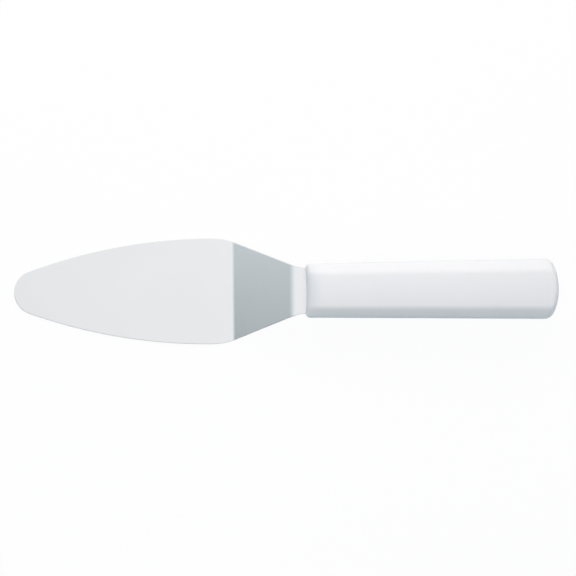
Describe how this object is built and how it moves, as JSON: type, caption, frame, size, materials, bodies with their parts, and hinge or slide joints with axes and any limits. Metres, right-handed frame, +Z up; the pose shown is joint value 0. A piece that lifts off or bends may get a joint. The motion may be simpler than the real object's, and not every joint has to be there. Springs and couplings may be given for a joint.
{
  "type": "pie server",
  "caption": "Pie server: a leaf-shaped steel blade, cranked up to a narrow neck, with its tang moulded into a straight plastic handle.",
  "frame": {"origin": "under the middle of the overall length and width, in the plane of the blade's flat underside", "axes": "+X from the blade's tip towards the handle's butt, +Z up from the blade's flat, +Y across the blade"},
  "size_m": [0.259, 0.0508, 0.0296],
  "materials": {
    "blade_steel": "satin",
    "handle_plastic": "satin"
  },
  "bodies": {
    "root": {"blade": "blade_steel", "handle": "handle_plastic"}
  },
  "joints": []
}
